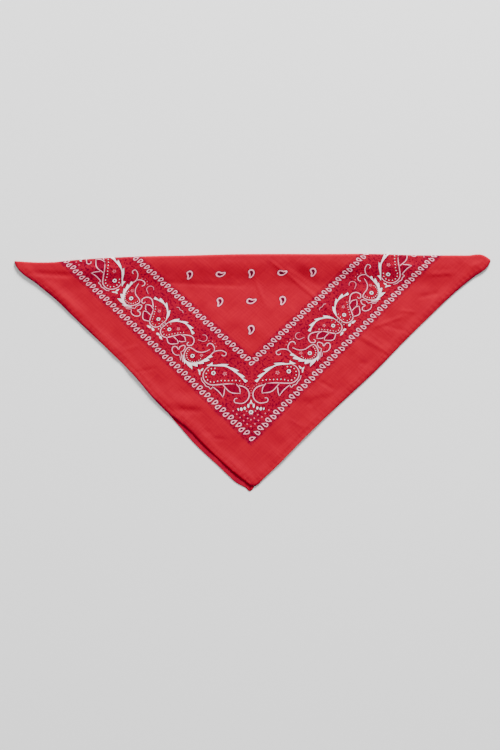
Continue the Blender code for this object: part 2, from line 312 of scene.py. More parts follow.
def crease_height(places):
    """Height that ridges and troughs add: round in section, fading at both ends."""
    height = np.zeros(len(places))
    for crease in CREASES:
        start = np.array([crease.x0, crease.y0])
        run = np.array([crease.x1, crease.y1]) - start
        share = np.clip((places - start) @ run / (run @ run), 0.0, 1.0)
        offset = places - start - share[:, None] * run
        on_left = run[0] * offset[:, 1] - run[1] * offset[:, 0] > 0
        away = np.linalg.norm(offset, axis=1) / np.where(on_left, crease.left, crease.right)
        fade = ease(np.minimum(share, 1 - share) / CREASE_FADE)
        fade = CREASE_END + (1 - CREASE_END) * fade
        height += crease.height * fade * (1 - ease(away))
    return height


def swell_height(places):
    """Height of the broad swells."""
    height = np.zeros(len(places))
    for swell in SWELLS:
        turn = math.radians(swell.turn)
        dx, dy = places[:, 0] - swell.x, places[:, 1] - swell.y
        lengthways = (dx * math.cos(turn) + dy * math.sin(turn)) / swell.long
        sideways = (dy * math.cos(turn) - dx * math.sin(turn)) / swell.short
        height += swell.height * np.exp(-lengthways ** 2 - sideways ** 2)
    return height


def ripple_height(places):
    """Small soft waves in many directions."""
    draw = np.random.default_rng(RIPPLE_SEED)
    height = np.zeros(len(places))
    for _ in range(RIPPLES):
        turn = draw.uniform(0, math.tau)
        length = draw.uniform(*RIPPLE_LENGTHS)
        phase = draw.uniform(0, math.tau)
        reach = places @ np.array([math.cos(turn), math.sin(turn)])
        height += length * RIPPLE_SLOPE / math.tau * np.sin(reach * math.tau / length + phase)
    return height


def border_height(places):
    """Rise of the border over its hems, with the dip and the puckers of the stitch line."""
    height = np.zeros(len(places))
    for edge, lips, phase in ((FRONT_LEFT, LEFT_LIPS, 1.0), (FRONT_RIGHT, RIGHT_LIPS, 2.3)):
        inset, share = inside_edge(places, edge)
        reach = share * SIDE
        run = ease((SIDE - reach - TIP_RUN[0]) / (TIP_RUN[1] - TIP_RUN[0]))
        rise = 1 - ease((inset - BORDER_SHELF) / (BORDER_FOOT - BORDER_SHELF))
        height = np.maximum(height, BORDER_LIFT * rise * run)
        groove = np.exp(-((inset - STITCH_INSET) / STITCH_GROOVE) ** 2)
        height -= groove * STITCH_DIP * run
        sway = PUCKER_SWAY * np.sin(reach / PUCKER_DRIFT + phase)
        pucker = np.sin(reach * math.tau / PUCKER_PITCH + sway + phase)
        beside = np.exp(-((inset - STITCH_INSET) / PUCKER_WIDTH) ** 2)
        height += PUCKER * pucker * beside * run
        curl = (1 - np.clip(inset / LIP, 0.0, 1.0)) ** 2
        height -= along(lips, np.clip(share, 0, 1)) * curl
    return height


def top_height(places, fold, radius):
    """Height of the printed face of the top half, for places on the table side of the roll."""
    from_fold = np.maximum(fold - radius - places[:, 1], 0.0)
    at_roll = 1 - ease((from_fold - ROLL_CREST) / (ROLL_RUN - ROLL_CREST))
    relief = crease_height(places) + swell_height(places) + ripple_height(places)
    height = REST + (2 * radius - REST) * at_roll + border_height(places)
    height = height + relief * ease(from_fold / ROLL_REACH)
    # troughs end softly on the layers beneath
    above = height - LOWEST
    return LOWEST + (above + np.sqrt(above ** 2 + LANDING ** 2)) / 2


def lay_front(flat):
    """Printed face of the top half: up the table, over the roll, and under it."""
    places = laid(flat)
    fold, radius = fold_line(places[:, 0])
    start = fold - radius
    turn = np.clip((places[:, 1] - start) / radius, 0.0, math.pi)
    x, y = places.T
    z = top_height(places, fold, radius)
    over = y > start
    y = np.where(over, start + radius * np.sin(turn), y)
    z = np.where(over, radius * (1 + np.cos(turn)), z)
    return np.column_stack([x, y, z])


# ---- the half beneath

SEAM_STEPS = 260
SEAM_X = np.linspace(LEFT_TIP[0], RIGHT_TIP[0], SEAM_STEPS + 1)
ON_SEAM = 0.05                      # what lies this close to the seam is on it
BACK_START = 0.865                  # what each millimetre of cloth covers beside the seam
MOST_START = 1.4                    # and at most, in shares of what the whole half covers
HALF = math.sqrt(0.5)


def seam_flat():
    """The line on the flat square where the roll has come round to the floor."""
    fold, radius = fold_line(SEAM_X)
    return unlaid(np.column_stack([SEAM_X, fold - radius + math.pi * radius]))


def from_diagonals(flat):
    """How far flat places lie to the right of the diagonal through the corner, and along it."""
    return (flat[:, 1] - flat[:, 0]) * HALF, (flat[:, 0] + flat[:, 1]) * HALF


SEAM = seam_flat()
SEAM_ACROSS, SEAM_DEPTH = from_diagonals(SEAM)


def on_seam(flat):
    """Which places lie on the line where the two halves meet."""
    sideways, depth = from_diagonals(flat)
    return np.abs(depth - np.interp(sideways, SEAM_ACROSS, SEAM_DEPTH)) < ON_SEAM


def lay_back(flat):
    """Printed face of the half beneath, which lies on the floor."""
    sideways, depth = from_diagonals(flat)
    seam_depth = np.interp(sideways, SEAM_ACROSS, SEAM_DEPTH)
    seam_x = np.interp(sideways, SEAM_ACROSS, SEAM_X)
    fold, radius = fold_line(seam_x)
    cut = DIAGONAL - np.abs(sideways)
    q = np.clip((depth - seam_depth) / np.maximum(cut - seam_depth, 1e-6), 0.0, 1.0)
    end = np.empty((len(flat), 2))
    middle = abs(BACK_CORNER[0])
    for edge, fold_tip, seam_end in ((BACK_LEFT, LEFT_TIP, 0), (BACK_RIGHT, RIGHT_TIP, -1)):
        here = sideways * edge.tip[0] >= 0
        stretch = (abs(fold_tip[0]) - middle) / (abs(edge.tip[0]) - middle)
        share = np.clip(sideways[here] / SEAM_ACROSS[seam_end], 0, 1) * stretch
        end[here] = edge_points(edge, share)
    x = seam_x + (end[:, 0] - seam_x) * q
    start = fold - radius
    span = start - end[:, 1]
    first = np.minimum((cut - seam_depth) * BACK_START, span * MOST_START)
    y = start - (first * q + (span - first) * q * q)
    return np.column_stack([x, y, np.zeros(len(flat))])


# ---- the print

GROUND, DARK, WHITE, LINE, PALE, SHADE = range(6)
Shape = namedtuple("Shape", "ink outline")
CENTRE = SIDE / 2
FIELD_PITCH = 34.75
FIELD_REACH = 3                     # steps of the field to each side of its middle
KEY_WIDTH = 1.0                     # the dark edge left round the light shapes
ARC_STEP = 24                       # degrees
CURVE_STEP = 1.7
TAPER = 0.3                         # the share of a line over which each end widens
CAP = 0.8                           # how far an end is rounded, as a share of its half width
DROP_POINT, DROP_FULLNESS = 1.4, 0.70
RING_EYE = 0.52                     # the dark inside of a ring, as a share of its radius
LEAF_LINE = 1.4

CHAIN_PITCH = 8.236
CHAIN_UNEVEN = 0.5
# The chains of links: how far each lies inside its edge, where along it and how far apart its links
# come, the first and last of them, how far every second one is moved inwards, and whether the
# chain is swapped to the right edge
Chain = namedtuple("Chain", "inset start step first count rise swapped")
CHAINS = [
    Chain(130.4, 132.1, 8.2, 1, 35, 4.0, False),
    Chain(130.4, 141.2, 8.13, 0, 34, 3.8, True),
    Chain(48.6, 52.0, CHAIN_PITCH, 1, 56, 4.0, False),
    Chain(48.0, 45.2, CHAIN_PITCH, 2, 56, 3.8, True),
]


def turned(points, degrees, centre=(0.0, 0.0)):
    """Points turned about the origin and then moved to a centre."""
    angle = math.radians(degrees)
    turn = np.array([[math.cos(angle), math.sin(angle)], [-math.sin(angle), math.cos(angle)]])
    return np.asarray(points, float) @ turn + centre


def arc(centre, radius, start, sweep, last=None):
    """Points of an arc, or of a curl when its last radius differs."""
    share = np.linspace(0, 1, max(2, int(abs(sweep) / ARC_STEP)) + 1)
    angle = np.radians(start + sweep * share)
    radius = radius + ((radius if last is None else last) - radius) * share
    points = np.column_stack([np.cos(angle), np.sin(angle)]) * radius[:, None] + centre
    return [tuple(point) for point in points]


def smooth(points, step=CURVE_STEP):
    """A smooth curve through points, as evenly spaced points."""
    knots = np.asarray(points, float)
    ends = np.vstack([2 * knots[0] - knots[1], knots, 2 * knots[-1] - knots[-2]])
    path = []
    for before, start, end, after in zip(ends, ends[1:], ends[2:], ends[3:]):
        span = np.linalg.norm(end - start)
        lean_in = (end - before) * span / max(np.linalg.norm(end - before), 1e-9)
        lean_out = (after - start) * span / max(np.linalg.norm(after - start), 1e-9)
        count = max(2, int(round(span / step)))
        for t in np.arange(count) / count:
            path.append(bent(t, start, end, lean_in, lean_out))
    return np.array(path + [knots[-1]])


def ribbon(path, width, start=1.0, end=1.0):
    """Outline of a line drawn along a path, as wide at its ends as these shares of its width."""
    run = unit(np.gradient(path, axis=0))
    sideways = np.column_stack([-run[:, 1], run[:, 0]])
    share = np.linspace(0, 1, len(path))
    swell = np.minimum(start + (1 - start) * share / TAPER, end + (1 - end) * (1 - share) / TAPER)
    half = (np.minimum(swell, 1.0) * width / 2)[:, None]
    first = path[0] - run[0] * half[0] * CAP
    last = path[-1] + run[-1] * half[-1] * CAP
    return np.vstack([first, path + sideways * half, last, (path - sideways * half)[::-1]])


def drop(centre, length, width, turn, sides):
    """Outline of a teardrop, whose point lies towards turn."""
    t = (np.arange(sides) + 0.5) * math.tau / sides
    x = np.cos(t)
    y = np.sin(t) * np.abs(np.sin(t / 2)) ** DROP_POINT / DROP_FULLNESS
    return turned(np.column_stack([x * length, y * width]) / 2, turn, centre)


def disc(centre, radius, sides):
    angles = np.arange(sides) * math.tau / sides
    return np.column_stack([np.cos(angles), np.sin(angles)]) * radius + centre


def signed_area(outline):
    x, y = outline.T
    return float(x @ np.roll(y, -1) - y @ np.roll(x, -1)) / 2


def flat_outwards(loop):
    """Unit directions out of a flat loop."""
    run = np.roll(loop, -1, axis=0) - np.roll(loop, 1, axis=0)
    away = unit(np.column_stack([run[:, 1], -run[:, 0]]))
    return away if signed_area(loop) > 0 else -away


def keyed(outline, ink=WHITE, key=KEY_WIDTH):
    """A light shape on its dark edge."""
    return [Shape(DARK, outline + flat_outwards(outline) * key), Shape(ink, outline)]


def line(points, width=1.5, ink=LINE, start=0.7, end=0.7, key=KEY_WIDTH):
    """A drawn line, with its dark edge under it."""
    path = smooth(points)
    edge = [Shape(DARK, ribbon(path, width + 2 * key, start, end))] if key else []
    return edge + [Shape(ink, ribbon(path, width, start, end))]


def leaf(tip, base_a, base_b, bulge_a, bulge_b):
    """Two bowed lines that meet at a tip, shaded between them."""
    one, other = [base_a, bulge_a, tip], [tip, bulge_b, base_b]
    inside = np.vstack([smooth(one, 3.0), smooth(other, 3.0)[1:]])
    return ([Shape(SHADE, inside)] + line(one, LEAF_LINE, start=0.8, end=0.5)
            + line(other, LEAF_LINE, start=0.5, end=0.8))


def ring(centre, radius):
    return keyed(disc(centre, radius, 12)) + [Shape(DARK, disc(centre, radius * RING_EYE, 8))]


def star(centre, radius):
    """Five small petals, with their points towards the middle."""
    shapes = []
    for turn in range(18, 378, 72):
        place = turned([(radius * 0.6, 0)], turn, centre)[0]
        petal = drop(place, radius * 0.9, radius * 0.55, turn + 180, sides=7)
        shapes.append(Shape(PALE, petal))
    return shapes


def dots(points, radius=0.85, ink=WHITE):
    return [Shape(ink, disc(point, radius, 6)) for point in points]


def spread(path, count):
    """Points evenly spaced along a path."""
    reach = np.concatenate([[0], np.cumsum(np.linalg.norm(np.diff(path, axis=0), axis=1))])
    stops = np.linspace(0, reach[-1], count)
    return np.column_stack([np.interp(stops, reach, path[:, k]) for k in (0, 1)])


def dots_along(points, count, radius=0.85, ink=WHITE):
    return dots(spread(smooth(points), count), radius, ink)


# A feather of a crest: thin where it starts, wide where it ends, with a tip that stands out there
Feather = namedtuple("Feather", "start tip end bow")


def crest(feathers, width):
    """Feathers along a line, with their dark edges under all of them."""
    spine = [feather.start for feather in feathers] + [feathers[-1].end]
    key, light = line(spine, width, WHITE, 0.5, 0.5)
    keys, lights = [key], [light]
    for feather in feathers:
        start, tip, end = (np.array(place, float) for place in feather[:3])
        sides = []
        for far in (tip, end):
            run = (far - start) / np.linalg.norm(far - start)
            away = np.array([-run[1], run[0]])
            away *= np.sign(away @ (tip - end))
            sides.append([start, (start + far) / 2 + away * feather.bow, far])
        key, light = keyed(np.vstack([smooth(sides[0], 2.4), smooth(sides[1][::-1], 2.4)[:-1]]))
        keys.append(key)
        lights.append(light)
    return keys + lights


Petal = namedtuple("Petal", "centre length width turn")


def sprig(petals):
    return [Shape(WHITE, drop(*petal, sides=8)) for petal in petals]


def big_paisley():
    """The long paisley that lies by the corner."""
    hook = arc((105.6, 75.8), 2.6, 60, -170, 4.4)
    back = arc((108, 84.8), 13.7, 212, -146)
    head = arc((158.6, 79.2), 15.5, 215, 196)
    shapes = line(hook + back + [(130, 87.4)] + head, 1.6)
    shapes += leaf((109, 86.5), (124, 93), (138, 78.5), (116, 91.6), (121, 78))
    shapes += leaf((123.5, 65), (131.5, 76), (146.5, 65.8), (127, 70.8), (134, 66.6))
    shapes += line([(146.5, 65.8), (145.6, 61.4), (150, 61.6), (154, 59.7), (159, 60.8),
                    (164.5, 61.2), (169, 64)], 1.3)
    shapes += crest([
        Feather((177.0, 83.6), (175.0, 92.6), (170.6, 89.0), -0.5),
        Feather((170.0, 90.0), (154.6, 107.2), (156.6, 101.2), 1.3),
        Feather((155.2, 102.2), (136.2, 110.6), (138.8, 104.8), 0.9),
        Feather((138.2, 105.6), (123.0, 110.0), (124.6, 104.8), 0.7),
        Feather((124.4, 105.6), (115.4, 108.0), (116.0, 104.2), 0.2),
    ], 2.2)
    shapes += ring((161.2, 81.6), 3.2)
    shapes += star((148, 92.4), 3.2)
    round_head = arc((158.6, 79.2), 11.2, 225, 190)
    shapes += dots_along([(124, 99.8), (129.5, 95.6), (137.5, 87.6), (146, 79.2)] + round_head, 15)
    shapes += dots_along(arc((108, 84.8), 17.6, 140, -92), 8, 0.65, PALE)
    return shapes + sprig([
        Petal((177.6, 74), 6.4, 2.6, 84),
        Petal((179.6, 69.4), 6.0, 2.6, 8),
        Petal((175.4, 66.8), 5.4, 2.2, 215),
    ])


def scroll_paisley():
    """The upright paisley with two scrolls on its tail."""
    curl_in = arc((172.4, 113.6), 3.0, -70, -190, 4.0)
    head = arc((203.6, 82.2), 15.4, 195, 172)
    shapes = line(curl_in + [(179.2, 114.8), (185.4, 106), (184.8, 95)] + head
                  + [(213.6, 86.8), (204, 88.6), (196.6, 94.6), (192.8, 104)], 1.6)
    shapes += line([(185.6, 106.5), (190, 111)] + arc((197, 107.4), 5.6, 110, -150, 3.6), 1.6)
    shapes += crest([
        Feather((215.6, 69.6), (202.4, 61.4), (205.4, 66.4), 0.9),
        Feather((208.4, 66.2), (188.4, 63.8), (196.4, 70.4), 1.4),
        Feather((199.0, 67.8), (185.8, 72.4), (190.6, 76.2), 1.2),
        Feather((193.0, 73.4), (182.6, 82.6), (187.0, 83.6), 1.2),
        Feather((188.4, 80.0), (180.2, 91.8), (185.2, 91.8), 1.0),
        Feather((186.0, 90.4), (181.2, 98.8), (185.2, 99.2), 0.5),
    ], 2.2)
    shapes += ring((204.2, 79.0), 3.1)
    shapes += star((195, 89), 2.6)
    shapes += dots_along(arc((203.6, 82.2), 11.8, 170, 190), 12, 0.65)
    shapes += dots_along([(189.4, 114.4), (194.4, 116.8), (199.6, 116.4), (204.4, 113)], 4, 0.8, PALE)
    return shapes


def middle_paisley():
    """The paisley that faces its mirror image in the middle of a side."""
    hook = arc((223, 88.8), 2.2, 40, -210, 3.4)
    back = arc((227.2, 91), 9.2, 190, -132)
    head = arc((262.4, 80), 10.4, 205, 170)
    shapes = line(hook + back + [(243.6, 90)] + head + [(272.4, 90), (271, 95.4)], 1.6)
    shapes += leaf((229, 88), (243.4, 90.6), (249, 80.6), (236, 91.8), (236, 81.6))
    shapes += leaf((235, 77.4), (241, 80.8), (255.4, 72.4), (237.6, 79.8), (245, 68.4))
    shapes += crest([
        Feather((272.2, 91.8), (264.2, 107.4), (262.8, 102.0), 1.7),
        Feather((263.2, 103.0), (249.8, 112.8), (251.4, 107.8), 1.0),
        Feather((251.2, 108.4), (237.0, 111.4), (238.8, 106.4), 0.8),
        Feather((239.2, 107.0), (229.4, 106.8), (230.6, 103.2), 0.3),
    ], 2.0)
    shapes += ring((262.4, 84.4), 2.9)
    shapes += star((253, 94.6), 2.6)
    shapes += dots_along([(243, 96), (250, 87)] + arc((262.4, 80), 6.8, 195, 110), 9, 0.6)
    shapes += dots_along([(268.8, 80), (269, 86), (267.6, 92)], 3, 0.55)
    return shapes + sprig([Petal((261, 65.8), 8.0, 3.4, 190), Petal((268.4, 67.2), 7.4, 3.4, 170)])


def bud():
    """A bud on two stems, between the paisleys."""
    shapes = line([(222, 71.4), (220.6, 75.4), (225, 82.2), (229, 76), (227.4, 71.8), (232.4, 72.4),
                   (236.2, 69.6), (234.6, 65), (229, 62.2), (223, 62.8), (219.6, 66.2)], 1.5)
    shapes += line([(222, 71.4), (214.6, 66.6), (207.4, 62)], 1.3)
    return shapes + line([(218, 66), (212, 61.8)], 1.1)


def loose_scroll():
    return line(arc((213.6, 110.4), 5.6, 30, 230) + [(217.6, 102.8)], 1.4, PALE)


CORNER_RING = 77.4                  # both places of the ring on the diagonal
CORNER_DOT = 1.15                   # radius of the dots sprinkled there
Spray = namedtuple("Spray", "sideways along_it length width")
SPRAYS = [
    Spray(4.0, 9.6, 6.4, 2.8), Spray(9.2, 6.0, 4.6, 3.4),
    Spray(14.2, 4.8, 5.4, 3.8), Spray(18.6, 4.6, 4.2, 2.0),
]


def corner_spray():
    """Petals and a sprinkling of dots beside the ring on the diagonal: the half on one side."""
    shapes = []
    for sideways, along_it, length, width in SPRAYS:
        place = (CORNER_RING + (along_it + sideways) * HALF, CORNER_RING + (along_it - sideways) * HALF)
        shapes += keyed(turned(disc((0, 0), 0.5, 8) * (length, width), 45 - sideways, place))
    shapes += line([(90.4, 90.4), (88.2, 87.0), (87.6, 84.4)], 1.3, WHITE, key=0)
    # rows of dots, left out where the ring, its petals and the first paisley lie
    for row in range(6):
        for column in range(row + 1):
            a, b = 61.5 + 7.2 * row - 1.6 * (column % 2), 60.8 + 6.6 * column
            if b + 1.0 < a < 99 and not (a > 84 and b > 66):
                shapes += dots([(a, b)], CORNER_DOT, PALE)
    return shapes


LINK_LENGTH, LINK_WIDTH = 10.6, 6.2
EYE_LENGTH, EYE_WIDTH = 5.3, 3.1


def link(centre, leans_back):
    """One link of a chain: a small pointed ring, turned the other way every second time."""
    turn = -70 if leans_back else 113
    middle, hole = turned([(1.8, 0), (0.6, 0)], turn, centre)
    eye = turned(disc((0, 0), 0.5, 8) * (EYE_LENGTH, EYE_WIDTH), turn, hole)
    shell = drop(middle, LINK_LENGTH, LINK_WIDTH, turn, sides=12)
    return keyed(shell, LINE, 0.9) + [Shape(DARK, eye)]


def chain(row):
    """Links along an edge, in two rows, a little uneven in their steps."""
    shapes = []
    for k in range(row.first, row.count):
        reach = row.start + k * row.step + (-CHAIN_UNEVEN if k % 2 else CHAIN_UNEVEN)
        shapes += link((reach, row.inset + row.rise * (k % 2)), k % 2 == 1)
    return swap(shapes) if row.swapped else shapes


def on_the_diagonal():
    shapes = ring((CORNER_RING, CORNER_RING), 3.1)
    shapes += dots([(62.2, 62.2), (69.4, 69.2)], CORNER_DOT, PALE)
    return shapes + link((48.6, 49.6), False)


def on_the_middle():
    shapes = line([(267.6, 117.8), (271, 119.8), (275, 118.4), (279, 119.8), (282.4, 117.8)], 1.5, PALE)
    return shapes + dots([(CENTRE, e) for e in (73.5, 78, 82.5, 87)], 0.8)


# The small paisley of the field, with x across the diagonal and y along it
BOTEH = [
    (0.0, 8.0), (2.6, 7.2), (4.5, 5.0), (5.3, 1.9), (4.8, -1.2), (3.2, -4.2), (0.8, -6.8),
    (-1.4, -8.2), (-3.2, -8.2), (-4.2, -6.8), (-3.8, -4.8), (-3.4, -2.6), (-4.1, -0.4),
    (-5.1, 1.8), (-5.2, 4.2), (-3.4, 6.7),
]
BOTEH_EYE = [
    (0.2, 5.3), (2.0, 4.5), (2.9, 2.5), (3.0, 0.2), (2.3, -1.9), (1.0, -3.9), (-0.3, -5.4),
    (-1.5, -5.7), (-1.6, -4.4), (-1.1, -2.6), (-1.2, -0.8), (-2.0, 1.0), (-2.9, 2.6),
    (-2.7, 4.1), (-1.5, 5.1),
]


def boteh(centre, upright):
    """The small paisley strewn over the field: the lying one is its mirror image."""
    outlines = []
    for points in (BOTEH, BOTEH_EYE):
        x, y = np.array(points).T
        x, y = (x, y) if upright else (-y, -x)
        outlines.append(np.column_stack([(y - x) * HALF, (y + x) * HALF]) + centre)
    return keyed(outlines[0], LINE, 1.1) + [Shape(DARK, outlines[1])]


def swap(shapes):
    """The same shapes on the other side of the diagonal."""
    return [Shape(s.ink, s.outline[:, ::-1]) for s in shapes]


def across(shapes):
    """The same shapes, mirrored about the middle of a side."""
    return [Shape(s.ink, np.column_stack([SIDE - s.outline[:, 0], s.outline[:, 1]])) for s in shapes]


def opposite(shapes):
    """The same shapes on the other side of the fold."""
    return [Shape(s.ink, SIDE - s.outline[:, ::-1]) for s in shapes]


def whole_print():
    """Every printed shape on the square, in the order in which they are printed."""
    half_side = (big_paisley() + scroll_paisley() + middle_paisley() + bud() + loose_scroll()
                 + corner_spray())
    side = half_side + across(half_side) + on_the_middle()
    near = side + swap(side)
    for row in CHAINS:
        near += chain(row)
    shapes = near + opposite(near)
    corner = on_the_diagonal()
    for spot in (corner, link((131.4, 131.4), False), across(corner)):
        shapes += spot + opposite(spot)
    steps = range(-FIELD_REACH, FIELD_REACH + 1)
    for i in steps:
        for j in steps:
            if (i + j) % 2 == 0:
                shapes += boteh((CENTRE + FIELD_PITCH * i, CENTRE + FIELD_PITCH * j), i % 2 == 1)
    return shapes


PRINT = whole_print()

# ---- mesh making

GRID = 2.7                          # spacing of the cloth's own points
ROW_GRID = GRID * 0.866             # rows of a close-packed grid
UNEVEN = 0.08                       # the share of the spacing by which they are uneven
WALL_STEPS = 3                      # steps round a cut edge
WALL_STEP = 0.5                     # the width of one in the maps
BAKE_SPAN = 622.0                   # the bake map holds this much cloth
BAKE_EDGE = 27.0                    # and starts this far outside the square


def triangulate(outline, shapes, seed):
    """Triangles of a flat outline with printed shapes on it, and the ink of each triangle."""
    points, faces, inks = [], [], []

    def add(loop, ink):
        if signed_area(loop) < 0:
            loop = loop[::-1]
        first = len(points)
        points.extend(map(tuple, loop))
        faces.append(list(range(first, first + len(loop))))
        inks.append(ink)

    add(outline, GROUND)
    low, high = outline.min(0) - 1, outline.max(0) + 1
    for shape in shapes:
        if (shape.outline.max(0) > low).all() and (shape.outline.min(0) < high).all():
            add(shape.outline, shape.ink)
    # the cloth's own points, on a close-packed grid, a little uneven
    draw = np.random.default_rng(seed)
    rows = np.arange(low[1], high[1], ROW_GRID)
    columns = np.arange(low[0], high[0], GRID)
    grid = np.array([(x + GRID / 2 * (k % 2), y) for k, y in enumerate(rows) for x in columns])
    grid += draw.uniform(-UNEVEN, UNEVEN, grid.shape) * GRID
    points.extend(map(tuple, grid))
    verts, _, tris, _, _, origins = geometry.delaunay_2d_cdt(
        [Vector(p) for p in points], [], faces, 1, 1e-5, True)
    # what lies inside the outline, each triangle in the ink that was printed last
    kept = [(t, max(o)) for t, o in zip(tris, origins) if 0 in o]
    flat = np.array([tuple(v) for v in verts])
    tris = np.array([t for t, _ in kept])
    ink = np.array([inks[top] for _, top in kept])
    turn = crossed(flat, tris)
    tris[turn < 0] = tris[turn < 0][:, ::-1]
    used = np.unique(tris)
    renumber = np.full(len(flat), -1)
    renumber[used] = np.arange(len(used))
    return flat[used], renumber[tris], ink


def rim(tris):
    """The loop of points round an open sheet of triangles, in order."""
    edges = dict.fromkeys(pair for a, b, c in tris for pair in ((a, b), (b, c), (c, a)))
    following = {start: end for start, end in edges if (end, start) not in edges}
    first = next(iter(following))
    loop = [first]
    while following[loop[-1]] != first:
        loop.append(following[loop[-1]])
    return np.array(loop)


def crossed(points, tris):
    """The cross product of two sides of each triangle."""
    corners = points[tris]
    return np.cross(corners[:, 1] - corners[:, 0], corners[:, 2] - corners[:, 0])


def point_normals(points, tris):
    """Normals of a sheet at its points."""
    faces = crossed(points, tris)
    normals = np.zeros_like(points)
    for k in range(3):
        np.add.at(normals, tris[:, k], faces)
    return unit(normals)


def make_object(name, data, material):
    piece = bpy.data.objects.new(name, data)
    bpy.context.scene.collection.objects.link(piece)
    data.materials.append(material)
    data.shade_smooth()
    return piece


def edge_shade(flat, edge, on_front):
    """How much painted shade darkens the colour at flat places beside a hemmed edge."""
    away = np.full(len(flat), EDGE_SHADE_WIDTH)
    for place in edge:
        close = np.abs(flat - place).max(axis=1) < EDGE_SHADE_WIDTH
        away[close] = np.minimum(away[close], np.linalg.norm(flat[close] - place, axis=1))
    depth = BACK_EDGE_SHADE
    if on_front:
        reach = np.clip(flat.max(axis=1) / SIDE, 0.0, 1.0)
        on_left = flat[:, 0] > flat[:, 1]
        depth = np.where(on_left, along(LEFT_EDGE_SHADES, reach), along(RIGHT_EDGE_SHADES, reach))
    return np.clip((1 - ease(away / EDGE_SHADE_WIDTH)) * depth, 0.0, MOST_EDGE_SHADE)


def inner_sheet(flat, loop, normals, lay, face_up, seed):
    """The inner side of the cloth, and its point under each rim point of the outer side."""
    inner_flat, tris, _ = triangulate(flat[loop], [], seed)
    points = lay(inner_flat)
    own = point_normals(points, tris)
    if (own[:, 2].mean() > 0) == face_up:
        tris = tris[:, ::-1]
    else:
        own = -own
    # its rim takes the outer side's normals, so that the two rims match
    rim_point = {tuple(np.round(flat[k], 4)): k for k in loop}
    partner = np.array([rim_point.get(tuple(np.round(place, 4)), -1) for place in inner_flat])
    on_rim = np.nonzero(partner >= 0)[0]
    own[on_rim] = normals[partner[on_rim]]
    under = dict(zip(partner[on_rim], on_rim))
    return inner_flat, points - own * CLOTH, tris, np.array([under[k] for k in loop])


def cut_edge(outer, inner, normals, bulge):
    """Rows of points half round from the outer to the inner rim."""
    run = np.roll(outer, -1, axis=0) - np.roll(outer, 1, axis=0)
    away = unit(np.cross(run, normals))
    rows = []
    for k in range(1, WALL_STEPS):
        turn = math.pi * k / WALL_STEPS
        middle = (outer + inner) / 2 + (outer - inner) / 2 * math.cos(turn)
        rows.append(middle + away * (bulge * math.sin(turn))[:, None])
    return rows


def wall_between(rings):
    """Triangles from each ring of points to the next."""
    wall = []
    for upper, lower in zip(rings, rings[1:]):
        next_upper, next_lower = np.roll(upper, -1), np.roll(lower, -1)
        wall.append(np.column_stack([next_upper, upper, lower]))
        wall.append(np.column_stack([next_upper, lower, next_lower]))
    return np.vstack(wall)


def add_values(data, name, kind, domain, values):
    """A named value at each face or point of a mesh."""
    values = values.astype(np.int32 if kind == "INT" else np.float32)
    data.attributes.new(name, kind, domain).data.foreach_set("value", values)


def add_map(data, name, corners):
    """A map with a place for each corner of each triangle."""
    layer = data.uv_layers.new(name=name)
    layer.data.foreach_set("uv", corners.astype(np.float32).ravel())


def make_half(name, outline, lay, face_up, seed):
    """One half of the bandana as a closed thin shell with the print on its outer side."""
    flat, tris, ink = triangulate(outline, PRINT, seed)
    outer, loop = lay(flat), rim(tris)
    normals = point_normals(outer, tris)
    if (normals[:, 2].mean() > 0) != face_up:
        tris, loop, normals = tris[:, ::-1], loop[::-1], -normals
    inner_flat, inner, inner_tris, under = inner_sheet(flat, loop, normals, lay, face_up, seed)
    # the edge is half round where it is cut, and flat where the two halves meet
    seam = on_seam(flat[loop])
    edge = cut_edge(outer[loop], inner[under], normals[loop], np.where(seam, 0.0, CLOTH / 2))

    # points of the outer side, of the inner side and of each row of the edge, in this order
    count, inner_count = len(outer), len(inner)
    first = count + inner_count
    rows = [np.arange(len(loop)) + first + k * len(loop) for k in range(WALL_STEPS)]
    wall = wall_between([loop] + rows[:-1] + [under + count])
    all_tris = np.vstack([tris, inner_tris + count, wall])
    data = bpy.data.meshes.new(name)
    data.from_pydata((np.vstack([outer, inner] + edge) * MM).tolist(), [], all_tris.tolist())

    unprinted = np.zeros(len(inner_tris) + len(wall), int)
    add_values(data, "ink", "INT", "FACE", np.concatenate([ink, unprinted]))
    wrong = np.repeat([0.0, 1.0, 0.0], [len(tris), len(inner_tris), len(wall)])
    add_values(data, "wrong_side", "FLOAT", "FACE", wrong)
    # painted shade along the cut edges, as a value at each point
    shade = edge_shade(flat, flat[loop][~seam], face_up)
    shades = [shade, np.zeros(inner_count)] + [shade[loop]] * len(edge)
    add_values(data, "edge_shade", "FLOAT", "POINT", np.concatenate(shades))

    # flat places for the weave, and the same for the bake map, where the inner side lies apart
    # and the edge's last row keeps beside the others
    step = flat_outwards(flat[loop]) * WALL_STEP
    beside = [flat[loop] + step * (k + 1) for k in range(WALL_STEPS)]
    place = np.vstack([flat, inner_flat] + beside)
    add_map(data, "cloth", place[all_tris] * MM)
    spot = ((place if face_up else SIDE - place) + BAKE_EDGE) / BAKE_SPAN
    spot[count:first] = 1 - spot[count:first]
    add_map(data, "OFBake", spot[np.vstack([tris, inner_tris + count, wall_between([loop] + rows)])])
    data.validate()
    return make_object(name, data, COTTON)


# ---- shading

